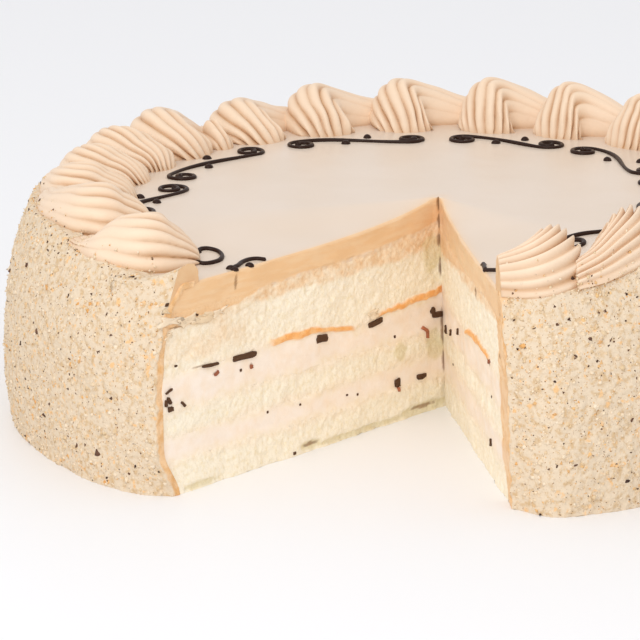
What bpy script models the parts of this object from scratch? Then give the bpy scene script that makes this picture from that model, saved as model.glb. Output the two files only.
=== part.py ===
# Espresso torte, 254 mm across, with one slice taken out of its front.
# Three sponges and two cream fillings stand in a coat of coffee icing.
# A ring of piped shells and a ring of drizzled scrolls lie on its top.
# Metres, Z up. Bearings are degrees clockwise from +Y, seen from above.

import math
import random

import bmesh
import bpy
from mathutils import Matrix, Vector

TOP_HEIGHT = 0.0676
LAYER_GAP = 0.0003
CEILING_GAP = 0.0009
TURN_STEPS = 56

# The coat: how thick it is on the sides and on the top, and its outer side from foot to shoulder.
COAT_SIDE = 0.0036
COAT_TOP = 0.0086
SIDE_PROFILE = (
    (0.1264, 0.0),
    (0.1272, 0.016),
    (0.1270, 0.032),
    (0.1256, 0.044),
    (0.1232, 0.054),
    (0.1209, 0.0594),
)
SHOULDER = ((0.1184, 0.0646), (0.1168, TOP_HEIGHT))
TOP_RINGS = (0.102, 0.084, 0.064, 0.038, 0.015)
# Unevenness of the side: its size, then waves round the cake, each one's start, lean and share.
SIDE_WAVE = 0.0006
SIDE_WAVES = ((3, 1.1, 0, 1.0), (7, 0.0, 90, 0.7), (13, 0.0, 0, 0.5))

# Layers from the bottom up: name, bottom, top, colour, roughness.
LAYERS = (
    ("sponge_bottom", 0.0, 0.0102, "F2E3B4", 0.85),
    ("cream_lower", 0.0102, 0.0178, "F6E2C8", 0.55),
    ("sponge_middle", 0.0178, 0.0257, "F2E3B4", 0.85),
    ("cream_upper", 0.0257, 0.0361, "F6E2C8", 0.55),
    ("sponge_top", 0.0361, TOP_HEIGHT - COAT_TOP, "F2E3B4", 0.85),
)

# The missing slice: its point, and the bearings of its two cuts seen from that point.
SLICE_POINT = (0.0099, -0.0057)
LEFT_CUT = 220.9
RIGHT_CUT = 170.1
SLICE_REACH = 0.30

# The cake leans a little, and its top sinks beside the cuts.
LEAN = -0.0322
SAG = 0.0061
SAG_REACH = 0.025
SAG_SPREAD = 32.0
SAG_FLOOR = 0.036

# Its outer side curves in at each cut: by what share, over how many degrees, and from how far out.
CORNER_PULLS = ((LEFT_CUT, 0.042), (RIGHT_CUT, 0.102))
CORNER_TURN = 3.5
CORNER_EASE = 1.5
CORNER_REACH = (0.070, 0.118)

# Chocolate chips at the cut faces: cut, distance from the point, height, length.
CHIP_SIZE = (0.0030, 0.0017)
CHIP_TILT = 4.0
CHIPS_UPPER = (
    ("left", 0.0325, 0.0334, 0.0064),
    ("left", 0.0565, 0.0338, 0.0052),
    ("left", 0.0890, 0.0344, 0.0100),
    ("left", 0.1020, 0.0344, 0.0062),
    ("left", 0.0090, 0.0272, 0.0046),
    ("left", 0.1190, 0.0320, 0.0030),
    ("right", 0.0270, 0.0315, 0.0058),
    ("right", 0.0125, 0.0278, 0.0050),
)
CHIPS_LOWER = (
    ("left", 0.0108, 0.0122, 0.0052),
    ("left", 0.0228, 0.0126, 0.0032),
    ("right", 0.0760, 0.0122, 0.0060),
)

# Piped shells: the ring that their inner ends stand on, then the form that they share.
SHELL_RING = (0.0065, -0.0024, 0.0936)
SHELL_MIDDLE = 0.1056
SHELL_HALF = 0.0102
SHELL_HEIGHT = 0.0150
SHELL_RIDGES = 6
SHELL_RIDGE_DEPTH = 0.10
# Stations from the inner end to the tail. Each has its inner foot, its outer foot and its height share.
# A foot is how far out it lies, then how far along the ring in half widths and in tail lengths.
SHELL_STATIONS = (
    (0.0000, 0.93, 0.00, 0.0000, -1.00, 0.00, 0.00),
    (0.0015, 0.82, 0.00, 0.0065, -1.14, 0.00, 0.66),
    (0.0036, 0.66, 0.02, 0.0140, -1.14, 0.00, 0.94),
    (0.0055, 0.54, 0.08, 0.0192, -0.96, 0.02, 1.00),
    (0.0076, 0.42, 0.21, 0.0236, -0.60, 0.12, 0.94),
    (0.0096, 0.28, 0.44, 0.0262, -0.10, 0.38, 0.79),
    (0.0112, 0.14, 0.74, 0.0270, 0.10, 0.76, 0.63),
    (0.0120, 0.00, 1.00, 0.0265, 0.00, 1.22, 0.52),
)
SHELL_REACH = 0.0270
SHELL_RIM = 0.1172
SHELL_LIFT = 0.0007
# How far a tail ends before the next shell, in that shell's half widths and in metres, and its longest.
TAIL_CLEAR = 1.16
SHELL_SPACE = 0.0008
TAIL_LIMIT = 0.030
# Bearing, width and height of each.
SHELLS = (
    (-151.0, 1.00, 1.00),
    (-124.5, 1.16, 0.98),
    (-107.5, 1.08, 0.90),
    (-92.5, 1.06, 0.84),
    (-78.0, 1.02, 0.82),
    (-64.5, 1.02, 0.86),
    (-50.5, 0.90, 0.98),
    (-34.8, 0.98, 0.98),
    (-19.5, 1.02, 1.02),
    (-3.2, 1.00, 1.06),
    (13.6, 1.04, 1.03),
    (28.6, 1.04, 1.00),
    (44.5, 1.05, 1.00),
    (59.5, 1.00, 1.02),
    (74.5, 1.02, 0.98),
    (89.5, 0.98, 1.00),
    (104.5, 1.03, 0.97),
    (119.0, 1.00, 1.01),
    (133.5, 1.02, 1.00),
    (147.5, 1.03, 1.06),
    (162.0, 1.05, 1.00),
)
RING_END = 176.0
# A small shell piped last, where the ring closes: bearing, then its size beside a full one.
JOIN_SHELL = (-43.5, 0.31, 0.62)

# Drizzled scrolls: bearings of both spirals of each, on their own ring.
SCROLL_RING = (-0.0005, -0.0028, 0.0786)
SCROLL_LINE = 0.0008
SCROLL_SINK = 0.3
SPIRAL_RADIUS = 0.0050
SPIRAL_CORE = 0.0018
SPIRAL_TURNS = 1.2
SPIRAL_POINTS = 9
LINE_POINTS = 6
DOT_RADIUS = 0.0017
DOT_PLACES = ((-0.2, -0.0024), (0.27, 0.0050))
SCROLLS = (
    (-158.0, -137.0),
    (-110.0, -85.0),
    (-72.0, -41.0),
    (-26.0, 0.0),
    (12.5, 33.0),
    (43.0, 68.0),
    (80.0, 104.0),
    (116.0, 141.0),
    (153.0, 176.0),
)

# Chopped nuts pressed into the side.
NUT_COUNT = 48
NUT_SIZES = (0.0021, 0.0012)
NUT_ARC = (-134.0, 160.0)
NUT_HEIGHTS = (0.004, 0.058)
NUT_FLAT = (0.6, 0.9)
NUT_STRAY = 0.02
# Steps of the spread round the cake and up its side, as shares of each range.
NUT_STEPS = (0.61803, 0.67376)


def clear_scene():
    for thing in list(bpy.data.objects):
        bpy.data.objects.remove(thing, do_unlink=True)


def new_collection(name):
    collection = bpy.data.collections.new(name)
    bpy.context.scene.collection.children.link(collection)
    return collection


def new_material(name, colour, roughness):
    material = bpy.data.materials.new(name)
    material.use_nodes = True
    shader = material.node_tree.nodes["Principled BSDF"]
    shares = [int(colour[i:i + 2], 16) / 255 for i in (0, 2, 4)]
    linear = [s / 12.92 if s <= 0.04045 else ((s + 0.055) / 1.055) ** 2.4 for s in shares]
    shader.inputs["Base Color"].default_value = (*linear, 1.0)
    shader.inputs["Roughness"].default_value = roughness
    shader.inputs["Metallic"].default_value = 0.0
    return material


def add_object(name, mesh, collection):
    thing = bpy.data.objects.new(name, mesh)
    collection.objects.link(thing)
    return thing


def add_cutter(name, mesh, collection):
    cutter = add_object(name, mesh, collection)
    cutter.hide_render = True
    cutter.display_type = "WIRE"
    return cutter


def mesh_from_bmesh(name, form):
    mesh = bpy.data.meshes.new(name)
    bmesh.ops.recalc_face_normals(form, faces=form.faces)
    form.to_mesh(mesh)
    form.free()
    return mesh


def bake(thing):
    """Replaces an object's mesh by its evaluated one and clears its modifiers."""
    bpy.context.view_layer.update()
    graph = bpy.context.evaluated_depsgraph_get()
    mesh = bpy.data.meshes.new_from_object(thing.evaluated_get(graph))
    thing.modifiers.clear()
    thing.data = mesh


def turned(name, profile, collection):
    """A solid of revolution; the profile runs from the axis over the top, down and back to the axis."""
    mesh = bpy.data.meshes.new(name)
    points = [(r, 0.0, z) for r, z in profile]
    edges = [(i, i + 1) for i in range(len(points) - 1)]
    mesh.from_pydata(points, edges, [])
    thing = add_object(name, mesh, collection)
    screw = thing.modifiers.new("Turn", "SCREW")
    screw.steps = TURN_STEPS
    screw.render_steps = TURN_STEPS
    screw.use_merge_vertices = True
    screw.merge_threshold = 0.0001
    bake(thing)
    return thing


def boolean(thing, operation, operand):
    step = thing.modifiers.new(operation.title(), "BOOLEAN")
    step.operation = operation
    step.solver = "EXACT"
    if isinstance(operand, bpy.types.Collection):
        step.operand_type = "COLLECTION"
        step.collection = operand
    else:
        step.object = operand
    bake(thing)


def bearing_vector(degrees):
    angle = math.radians(degrees)
    return Vector((math.sin(angle), math.cos(angle), 0.0))


def turn_between(a, b):
    """Degrees between two bearings, the short way round."""
    return abs((a - b + 180.0) % 360.0 - 180.0)


def smooth(share):
    share = min(max(share, 0.0), 1.0)
    return share * share * (3.0 - 2.0 * share)


def corner_pull(bearing, distance):
    """Share by which the cake is drawn in towards the slice's point."""
    start, end = CORNER_REACH
    reach = smooth((distance - start) / (end - start))
    pulls = [pull * math.exp(-(turn_between(bearing, cut) / CORNER_TURN) ** CORNER_EASE)
             for cut, pull in CORNER_PULLS]
    return sum(pulls) * reach


def settle(thing):
    """Draws the corners in, sinks the top beside the cuts and leans the cake, the same for every piece."""
    for vertex in thing.data.vertices:
        x, y, z = vertex.co
        away = (x - SLICE_POINT[0], y - SLICE_POINT[1])
        distance = math.hypot(*away)
        bearing = math.degrees(math.atan2(away[0], away[1]))
        beside = min(turn_between(bearing, LEFT_CUT), turn_between(bearing, RIGHT_CUT))
        fade = math.cos(math.pi / 2 * min(beside / SAG_SPREAD, 1.0)) ** 2
        depth = SAG * (1.0 - math.exp(-distance / SAG_REACH)) * fade
        share = smooth((z - SAG_FLOOR) / (TOP_HEIGHT - SAG_FLOOR))
        pull = corner_pull(bearing, distance)
        vertex.co = (x - away[0] * pull + LEAN * z, y - away[1] * pull, z - depth * share)


def side_radius(z):
    """Outer radius of the coat at a height, along the straight runs of its profile."""
    for (r0, z0), (r1, z1) in zip(SIDE_PROFILE, SIDE_PROFILE[1:]):
        if z <= z1:
            return r0 + (r1 - r0) * (z - z0) / (z1 - z0)
    return SIDE_PROFILE[-1][0]


def finish_piece(thing, material):
    settle(thing)
    thing.data.shade_smooth()
    thing.data.set_sharp_from_angle(angle=math.radians(35.0))
    thing.data.materials.clear()
    thing.data.materials.append(material)


def build_slice_cutter(collection):
    """A tall three-sided prism where the slice was."""
    form = bmesh.new()
    left = bearing_vector(LEFT_CUT) * SLICE_REACH
    right = bearing_vector(RIGHT_CUT) * SLICE_REACH
    corners = [Vector((0.0, 0.0, 0.0)), left, right]
    base = Vector((*SLICE_POINT, -0.05))
    face = form.faces.new([form.verts.new(base + corner) for corner in corners])
    pushed = bmesh.ops.extrude_face_region(form, geom=[face])
    upper = [item for item in pushed["geom"] if isinstance(item, bmesh.types.BMVert)]
    bmesh.ops.translate(form, verts=upper, vec=(0.0, 0.0, 0.2))
    return add_cutter("slice_cutter", mesh_from_bmesh("slice_cutter", form), collection)


def build_chips(places, collection):
    """Flat chocolate chips half sunk in a cream's cut faces."""
    for number, (side, distance, height, length) in enumerate(places):
        bearing = LEFT_CUT if side == "left" else RIGHT_CUT
        form = bmesh.new()
        bmesh.ops.create_cube(form, size=1.0)
        bmesh.ops.scale(form, verts=form.verts, vec=(CHIP_SIZE[0], length, CHIP_SIZE[1]))
        tilt = Matrix.Rotation(math.radians(CHIP_TILT * (number % 3 - 1)), 3, "X")
        bmesh.ops.rotate(form, verts=form.verts, matrix=tilt)
        bmesh.ops.rotate(form, verts=form.verts, matrix=Matrix.Rotation(math.radians(-bearing), 3, "Z"))
        place = Vector((*SLICE_POINT, height)) + bearing_vector(bearing) * distance
        bmesh.ops.translate(form, verts=form.verts, vec=place)
        add_object(f"chip_{number}", mesh_from_bmesh("chip", form), collection)


def remove_collection(collection):
    for thing in list(collection.objects):
        bpy.data.objects.remove(thing, do_unlink=True)
    bpy.data.collections.remove(collection)


def build_layer(name, bottom, top, material, cutter, collection):
    """One sponge or cream, as wide as the coat's inner wall lets it be."""
    low = bottom + (LAYER_GAP if bottom > 0 else 0.0)
    inset = COAT_SIDE + LAYER_GAP
    upper = [(0.0, top)]
    if name == "sponge_top":
        upper += [(r, top) for r in reversed(TOP_RINGS)]
    wall = [(side_radius(top) - inset, top)]
    wall += [(r - inset, z) for r, z in reversed(SIDE_PROFILE) if low < z < top]
    wall += [(side_radius(low) - inset, low)]
    thing = turned(name, upper + wall + [(0.0, low)], collection)
    boolean(thing, "DIFFERENCE", cutter)
    places = {"cream_upper": CHIPS_UPPER, "cream_lower": CHIPS_LOWER}.get(name)
    if places:
        chips = new_collection("chips")
        build_chips(places, chips)
        boolean(thing, "UNION", chips)
        remove_collection(chips)
    finish_piece(thing, material)
    return thing


def side_wave(thing):
    """Makes the turned side a little uneven, as a coat spread by hand is."""
    for vertex in thing.data.vertices:
        x, y, z = vertex.co
        radius = math.hypot(x, y)
        if radius < side_radius(z) - COAT_SIDE / 2 or z > SIDE_PROFILE[-1][1]:
            continue
        angle = math.atan2(x, y)
        wave = sum(size * math.sin(count * angle + start + lean * z) for count, start, lean, size in SIDE_WAVES)
        grow = 1.0 + SIDE_WAVE * wave / radius
        vertex.co = (x * grow, y * grow, z)


def ring_point(ring, bearing, out):
    direction = bearing_vector(bearing)
    return Vector((ring[0], ring[1], 0.0)) + direction * (ring[2] + out)


def scroll_path(start, end):
    """Along one scroll: out of the first spiral, across the ring line and into the second."""
    half = math.radians(end - start) / 2 * SCROLL_RING[2]
    first = []
    for i in range(SPIRAL_POINTS):
        share = i / (SPIRAL_POINTS - 1)
        angle = math.radians(90.0 + 360.0 * SPIRAL_TURNS * (1.0 - share))
        radius = SPIRAL_CORE + (SPIRAL_RADIUS - SPIRAL_CORE) * share
        first.append((-half + radius * math.cos(angle), radius * math.sin(angle)))
    line = []
    for i in range(1, LINE_POINTS):
        share = i / LINE_POINTS
        line.append((-half + 2 * half * share, SPIRAL_RADIUS * math.cos(math.pi * share)))
    second = [(-s, -n) for s, n in reversed(first)]
    return first + line + second


def build_scroll(number, start, end, collection):
    middle = (start + end) / 2
    curve = bpy.data.curves.new(f"scroll_{number}", "CURVE")
    curve.dimensions = "3D"
    curve.bevel_depth = SCROLL_LINE
    curve.bevel_resolution = 0
    curve.use_fill_caps = True
    path = scroll_path(start, end)
    spline = curve.splines.new("POLY")
    spline.points.add(len(path) - 1)
    for point, (along, out) in zip(spline.points, path):
        place = ring_point(SCROLL_RING, middle + math.degrees(along / SCROLL_RING[2]), out)
        point.co = (place.x, place.y, TOP_HEIGHT + SCROLL_LINE * SCROLL_SINK, 1.0)
    guide = add_object(f"scroll_{number}_guide", curve, collection)
    bpy.context.view_layer.update()
    graph = bpy.context.evaluated_depsgraph_get()
    mesh = bpy.data.meshes.new_from_object(guide.evaluated_get(graph))
    bpy.data.objects.remove(guide, do_unlink=True)
    form = bmesh.new()
    form.from_mesh(mesh)
    bmesh.ops.remove_doubles(form, verts=form.verts, dist=0.00001)
    add_object(f"scroll_{number}", mesh_from_bmesh("scroll", form), collection)
    half = math.radians(end - start) / 2 * SCROLL_RING[2]
    for share, out in DOT_PLACES:
        bearing = middle + math.degrees(share * half / SCROLL_RING[2])
        place = ring_point(SCROLL_RING, bearing, out)
        add_lump(f"dot_{number}", (place.x, place.y, TOP_HEIGHT), DOT_RADIUS, Matrix.Identity(3), collection)


def add_lump(name, place, radius, matrix, collection):
    form = bmesh.new()
    bmesh.ops.create_icosphere(form, subdivisions=1, radius=radius)
    bmesh.ops.transform(form, matrix=matrix.to_4x4(), verts=form.verts)
    bmesh.ops.translate(form, verts=form.verts, vec=place)
    add_object(name, mesh_from_bmesh("lump", form), collection)


def build_nuts(collection):
    """The larger chopped nuts, largest first, spread evenly round the side."""
    draw = random.Random(5)
    for i in range(NUT_COUNT):
        share = i / (NUT_COUNT - 1)
        radius = NUT_SIZES[0] + (NUT_SIZES[1] - NUT_SIZES[0]) * share
        round_share = (i * NUT_STEPS[0] + draw.uniform(0, NUT_STRAY)) % 1.0
        up_share = (i * NUT_STEPS[1] + draw.uniform(0, NUT_STRAY)) % 1.0
        bearing = NUT_ARC[0] + (NUT_ARC[1] - NUT_ARC[0]) * round_share
        height = NUT_HEIGHTS[0] + (NUT_HEIGHTS[1] - NUT_HEIGHTS[0]) * up_share
        place = bearing_vector(bearing) * side_radius(height)
        place.z = height
        turn = Matrix.Rotation(draw.uniform(0, math.pi), 3, (draw.random(), draw.random(), 1.0))
        stretch = Matrix.Diagonal((1.0, draw.uniform(*NUT_FLAT), draw.uniform(*NUT_FLAT)))
        add_lump(f"nut_{i}", place, radius, turn @ stretch, collection)


def build_coat(material, cutter, collection):
    """Icing over the top and round the side, with the scrolls and chopped nuts that lie on it."""
    under = TOP_HEIGHT - COAT_TOP + CEILING_GAP
    top = [(0.0, TOP_HEIGHT)] + [(r, TOP_HEIGHT) for r in reversed(TOP_RINGS)]
    side = list(reversed(SHOULDER)) + list(reversed(SIDE_PROFILE))
    wall = [(r - COAT_SIDE, z) for r, z in SIDE_PROFILE if z < under]
    wall += [(side_radius(under) - COAT_SIDE, under)]
    ceiling = [(r, under) for r in TOP_RINGS] + [(0.0, under)]
    coat = turned("coffee_icing", top + side + wall + ceiling, collection)
    side_wave(coat)
    toppings = new_collection("toppings")
    for number, (start, end) in enumerate(SCROLLS):
        build_scroll(number, start, end, toppings)
    build_nuts(toppings)
    boolean(coat, "UNION", toppings)
    remove_collection(toppings)
    boolean(coat, "DIFFERENCE", cutter)
    finish_piece(coat, material)
    return coat


def shell_point(bearing, out, along):
    """Maps a shell's own plan, outward and clockwise, on to the band between its ring and the rim."""
    turned_to = bearing + math.degrees(along / SHELL_MIDDLE)
    room = SHELL_RIM - ring_point(SHELL_RING, turned_to, 0.0).length
    return ring_point(SHELL_RING, turned_to, out * room / SHELL_REACH)


def build_shell(name, bearing, wide, tall, tail_end, collection, long=1.0):
    """One piped shell: ridges rise from a broad inner end, go over and curl clockwise into a tail."""
    half = SHELL_HALF * wide
    samples = 2 * SHELL_RIDGES + 1
    form = bmesh.new()
    rows = []
    for foot_out, foot_side, foot_tail, far_out, far_side, far_tail, share in SHELL_STATIONS:
        foot = Vector((foot_out * long, foot_side * half + foot_tail * tail_end))
        far = Vector((far_out * long, far_side * half + far_tail * tail_end))
        row = []
        for i in range(samples):
            angle = math.pi * i / (samples - 1)
            reach = 1.0 if i % 2 else 1.0 - SHELL_RIDGE_DEPTH
            out, along = foot.lerp(far, (1.0 - math.cos(angle) * reach) / 2)
            place = shell_point(bearing, out, along)
            place.z = TOP_HEIGHT + SHELL_LIFT + SHELL_HEIGHT * tall * share * math.sin(angle) * reach
            row.append(form.verts.new(place))
        rows.append(row)
    for near, far_row in zip(rows, rows[1:]):
        for i in range(samples - 1):
            form.faces.new((near[i], near[i + 1], far_row[i + 1], far_row[i]))
    form.faces.new(rows[0] + [rows[1][-1], rows[1][0]])
    for near, far_row in zip(rows[1:], rows[2:]):
        form.faces.new((near[0], far_row[0], far_row[-1], near[-1]))
    form.faces.new(rows[-1])
    return add_object(name, mesh_from_bmesh(name, form), collection)


def build_shells(cutter, collection):
    material = new_material("buttercream", "F0D2AF", 0.6)
    bearing, size, tall = JOIN_SHELL
    small_end = SHELL_HALF * size
    join = build_shell("shell_join", bearing, size, tall, small_end, collection, long=size)
    finish_piece(join, material)
    for number, (bearing, wide, tall) in enumerate(SHELLS):
        if number + 1 < len(SHELLS):
            next_bearing, next_wide = SHELLS[number + 1][:2]
        else:
            next_bearing, next_wide = RING_END, 1.0
        pitch = math.radians(next_bearing - bearing) * SHELL_MIDDLE
        tail_end = min(pitch - SHELL_HALF * next_wide * TAIL_CLEAR - SHELL_SPACE, TAIL_LIMIT)
        name = f"shell_{number + 1:02d}"
        thing = build_shell(name, bearing, wide, tall, tail_end, collection)
        if number in (0, len(SHELLS) - 1):
            boolean(thing, "DIFFERENCE", cutter)
        finish_piece(thing, material)


def main():
    clear_scene()
    cake = new_collection("espresso_torte")
    cutters = new_collection("cutters")
    cutter = build_slice_cutter(cutters)
    for name, bottom, top, colour, roughness in LAYERS:
        build_layer(name, bottom, top, new_material(name, colour, roughness), cutter, cake)
    build_coat(new_material("coffee_icing", "E8DBCB", 0.5), cutter, cake)
    build_shells(cutter, cake)


main()
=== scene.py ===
# Espresso torte with a slice missing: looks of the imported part, lit softly on a plain pale floor.
import math

import bmesh
import bpy
import numpy as np
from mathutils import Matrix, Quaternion, Vector


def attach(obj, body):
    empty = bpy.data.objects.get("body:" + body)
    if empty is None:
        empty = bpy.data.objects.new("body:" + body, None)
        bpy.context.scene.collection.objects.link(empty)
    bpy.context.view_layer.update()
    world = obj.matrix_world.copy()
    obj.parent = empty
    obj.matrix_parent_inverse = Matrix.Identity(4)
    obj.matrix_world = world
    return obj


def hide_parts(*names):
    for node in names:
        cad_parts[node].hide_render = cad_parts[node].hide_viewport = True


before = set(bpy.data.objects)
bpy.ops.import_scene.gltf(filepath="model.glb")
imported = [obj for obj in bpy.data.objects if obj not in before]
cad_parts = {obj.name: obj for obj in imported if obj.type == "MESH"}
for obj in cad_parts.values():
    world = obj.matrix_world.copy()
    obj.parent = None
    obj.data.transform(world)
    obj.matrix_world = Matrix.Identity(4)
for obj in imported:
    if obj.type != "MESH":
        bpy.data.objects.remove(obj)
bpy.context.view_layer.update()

scene = bpy.context.scene

# Shared form: the same numbers as the CAD source, so that every piece stays in its place.
cake = {
    "topHeight": 0.0676,
    # the coat's side: height, radius
    "sideProfile": [(0.0, 0.1264), (0.016, 0.1272), (0.032, 0.1270), (0.044, 0.1256), (0.054, 0.1232),
                    (0.0594, 0.1209), (0.0646, 0.1184), (0.0676, 0.1168)],
    "sideWave": 0.0006,
    "point": (0.0099, -0.0057),    # the slice's point, where both cuts start
    "leftCut": 220.9,              # bearing, clockwise from the back
    "rightCut": 170.1,
    "lean": -0.0322,
    "sag": 0.0061,                 # how far the top sinks beside the cuts
    "sagReach": 0.025,
    "sagSpread": 32.0,
    "sagFloor": 0.036,
    # pulls at the outer corners: bearing, share, what is let go of it at half height
    "cornerPulls": [(220.9, 0.042, 0.95), (170.1, 0.102, 0.0)],
    "cornerTurn": 3.5,
    "cornerReach": (0.070, 0.118),
    "letGo": ((0.0, 0.014), (0.074, 0.058)),    # heights over which a pull is let go, from below and from above
}
point = np.array([*cake["point"], 0.0])


def smooth(share):
    share = np.clip(share, 0.0, 1.0)
    return share * share * (3.0 - 2.0 * share)


def ramp(value, start, end):
    # rises softly from 0 at start to 1 at end
    return smooth((value - start) / (end - start))


def turnBetween(a, b):
    return np.abs((a - b + 180.0) % 360.0 - 180.0)


def cutBearing(left):
    return cake["leftCut"] if left else cake["rightCut"]


def besideCuts(bearing):
    return np.minimum(turnBetween(bearing, cake["leftCut"]), turnBetween(bearing, cake["rightCut"]))


def bearingVector(bearing):
    angle = np.radians(bearing)
    return np.stack([np.sin(angle), np.cos(angle), np.zeros_like(angle)], -1)


def cutNormal(left):
    x, y, z = bearingVector(cutBearing(left))
    return np.array([y, -x, z]) * (-1 if left else 1)


def placeAt(bearing, distance, z):
    # places at a bearing and distance from the slice's point
    places = point + bearingVector(bearing) * distance[..., None]
    places[..., 2] = z
    return places


def fromPoint(places):
    # distance and bearing of places, seen from the slice's point
    away = places[..., :2] - point[:2]
    return np.hypot(away[..., 0], away[..., 1]), np.degrees(np.arctan2(away[..., 0], away[..., 1]))


def fromAxis(places):
    return np.hypot(places[..., 0], places[..., 1])


def settle(points):
    # sinks the top beside the cuts, pulls their outer corners in and leans the whole cake
    distance, bearing = fromPoint(points)
    z = points[..., 2]
    fade = np.cos(np.pi / 2 * np.minimum(besideCuts(bearing) / cake["sagSpread"], 1.0)) ** 2
    depth = cake["sag"] * (1.0 - np.exp(-distance / cake["sagReach"])) * fade
    middle = ramp(z, *cake["letGo"][0]) * ramp(z, *cake["letGo"][1])
    pull = sum(size * (1.0 - loose * middle) * np.exp(-(turnBetween(bearing, cut) / cake["cornerTurn"]) ** 1.5)
               for cut, size, loose in cake["cornerPulls"]) * ramp(distance, *cake["cornerReach"])
    out = points.copy()
    out[..., :2] -= (points[..., :2] - point[:2]) * pull[..., None]
    out[..., 0] += cake["lean"] * z
    out[..., 2] -= depth * ramp(z, cake["sagFloor"], cake["topHeight"])
    return out


def sideRadius(z):
    return np.interp(z, *zip(*cake["sideProfile"]))


def sideWave(angle, z):
    waves = np.sin(3 * angle + 1.1) + 0.7 * np.sin(7 * angle + 90 * z) + 0.5 * np.sin(13 * angle)
    return cake["sideWave"] * waves


def wallDistance(bearing, z, inset):
    # from the slice's point to the coat's side, along a bearing
    radius = sideRadius(z) - inset
    along = bearingVector(bearing) @ point
    for _ in range(2):
        distance = -along + np.sqrt(along ** 2 + radius ** 2 - point @ point)
        place = placeAt(bearing, distance, z)
        radius = sideRadius(z) - inset + sideWave(np.arctan2(place[..., 0], place[..., 1]), z)
    return distance


def lattice(ix, iy, iz, seed):
    mixed = (ix * 374761393 + iy * 668265263 + iz * 1440662683 + seed * 1274126177) & 0xFFFFFFFF
    mixed = ((mixed ^ (mixed >> 13)) * 1103515245) & 0xFFFFFFFF
    mixed = ((mixed ^ (mixed >> 15)) * 668265263) & 0xFFFFFFFF
    return ((mixed ^ (mixed >> 16)) & 0xFFFF) / 65535.0


def noise(points, size, seed=0):
    # smooth value noise from -1 to 1; size is the distance between its lumps
    cell = points / np.asarray(size)
    base = np.floor(cell).astype(np.int64)
    part = cell - base
    part = part * part * (3.0 - 2.0 * part)
    total = np.zeros(points.shape[:-1])
    for corner in range(8):
        step = [(corner >> k) & 1 for k in range(3)]
        weight = np.ones(points.shape[:-1])
        for k in range(3):
            weight = weight * (part[..., k] if step[k] else 1.0 - part[..., k])
        total += weight * lattice(*(base[..., k] + step[k] for k in range(3)), seed)
    return total * 2.0 - 1.0


def fractal(points, size, octaves, seed=0, loss=0.5):
    total, share = 0.0, 1.0
    for k in range(octaves):
        total = total + share * noise(points, size / 2 ** k, seed + 31 * k)
        share *= loss
    return total


def makeMesh(name, points, faces, masks=None, flat=False, sharpFrom=None):
    # faces is a list of index arrays, three or four wide; sharpFrom is the angle at which an edge stays sharp
    mesh = bpy.data.meshes.new(name)
    counts = np.concatenate([np.full(len(f), f.shape[1]) for f in faces])
    loops = np.concatenate([f.ravel() for f in faces]).astype(np.int32)
    mesh.vertices.add(len(points))
    mesh.vertices.foreach_set("co", points.astype(np.float32).ravel())
    mesh.loops.add(len(loops))
    mesh.loops.foreach_set("vertex_index", loops)
    mesh.polygons.add(len(counts))
    starts = np.concatenate([[0], np.cumsum(counts)[:-1]])
    mesh.polygons.foreach_set("loop_start", starts.astype(np.int32))
    mesh.update(calc_edges=True)
    mesh.validate()
    if not flat:
        mesh.shade_smooth()
    if sharpFrom:
        mesh.set_sharp_from_angle(angle=math.radians(sharpFrom))
    for key, values in (masks or {}).items():
        layer = mesh.attributes.new(key, "FLOAT", "POINT")
        layer.data.foreach_set("value", np.asarray(values, np.float32).ravel())
    return mesh


def quadsOf(index, flip=False):
    # faces between the neighbours of a table of vertex numbers
    quads = np.stack([index[:-1, :-1], index[:-1, 1:], index[1:, 1:], index[1:, :-1]], -1).reshape(-1, 4)
    return quads[:, ::-1] if flip else quads


def gridFaces(rows, columns, wrap=False, start=0, flip=False):
    index = start + np.arange(rows * columns).reshape(rows, columns)
    return quadsOf(np.concatenate([index, index[:, :1]], 1) if wrap else index, flip)


def fanFaces(ring, centre, flip=False):
    triangles = np.stack([ring, np.roll(ring, -1), np.full(len(ring), centre)], 1)
    return triangles[:, ::-1] if flip else triangles


def joinParts(parts):
    points, faces, start = [], [], 0
    for places, quads in parts:
        points.append(places)
        faces += [f + start for f in quads]
        start += len(places)
    return np.concatenate(points), faces


def addPiece(name, mesh, material, replaced=()):
    piece = bpy.data.objects.new(name, mesh)
    scene.collection.objects.link(piece)
    for item in material if isinstance(material, list) else [material]:
        mesh.materials.append(item)
    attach(piece, "root")
    if replaced:
        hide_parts(*replaced)


def colour(hexCode):
    # sRGB hex code to linear
    shares = [int(hexCode[i:i + 2], 16) / 255 for i in (0, 2, 4)]
    return tuple(s / 12.92 if s <= 0.04045 else ((s + 0.055) / 1.055) ** 2.4 for s in shares) + (1.0,)


def addNode(material, kind, settings=None, links=None):
    tree = material.node_tree
    node = tree.nodes.new(kind)
    for key, value in (settings or {}).items():
        if hasattr(node, key):
            setattr(node, key, value)
        else:
            node.inputs[key].default_value = value
    for key, source in (links or {}).items():
        tree.links.new(source[0].outputs[source[1]], node.inputs[key])
    return node


def newMaterial(name, settings):
    material = bpy.data.materials.new(name)
    material.use_nodes = True
    material.node_tree.nodes.clear()
    shader = addNode(material, "ShaderNodeBsdfPrincipled", settings)
    addNode(material, "ShaderNodeOutputMaterial", None, {"Surface": (shader, "BSDF")})
    return material, shader


def mixColours(material, factor, first, second):
    # first and second are hex codes or (node, output) pairs
    node = addNode(material, "ShaderNodeMix", {"data_type": "RGBA"}, {"Factor": factor})
    for socket, value in ((6, first), (7, second)):
        if isinstance(value, str):
            node.inputs[socket].default_value = colour(value)
        else:
            material.node_tree.links.new(value[0].outputs[value[1]], node.inputs[socket])
    return node, 2


def ownPlace(material):
    return addNode(material, "ShaderNodeTexCoord"), "Object"


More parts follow.
